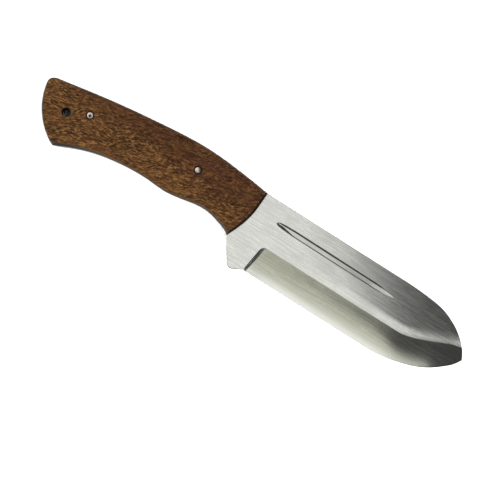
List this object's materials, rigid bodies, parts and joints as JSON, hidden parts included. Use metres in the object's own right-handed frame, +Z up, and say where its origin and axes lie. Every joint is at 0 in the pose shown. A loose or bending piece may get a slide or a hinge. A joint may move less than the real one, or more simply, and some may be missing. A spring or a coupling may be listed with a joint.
{
  "type": "fixed-blade knife",
  "caption": "Full-tang fixed-blade camp knife with wooden handle scales, plain pins, hollow-ground bevels, a slim fuller, a finger guard and a lanyard hole.",
  "frame": {"origin": "under the middle of the outline, on the lower scale's flat outer face", "axes": "+X from the butt to the tip, +Y from the cutting edge to the spine, +Z up through the thickness, with the knife lying on its side"},
  "size_m": [0.26, 0.0468, 0.0193],
  "materials": {
    "blade_steel": "brushed lengthwise, satin, brighter on the ground bevels",
    "scale_wood": "oiled dark hardwood with fine golden flecks, satin",
    "bond_epoxy": "cured dark epoxy, seen only as a thin line",
    "pin_steel": "sanded flush with the wood, satin"
  },
  "bodies": {
    "root": {"blade": "blade_steel", "upper_scale": "scale_wood", "lower_scale": "scale_wood", "upper_bond": "bond_epoxy", "lower_bond": "bond_epoxy", "front_pin": "pin_steel", "rear_pin": "pin_steel"}
  },
  "joints": []
}
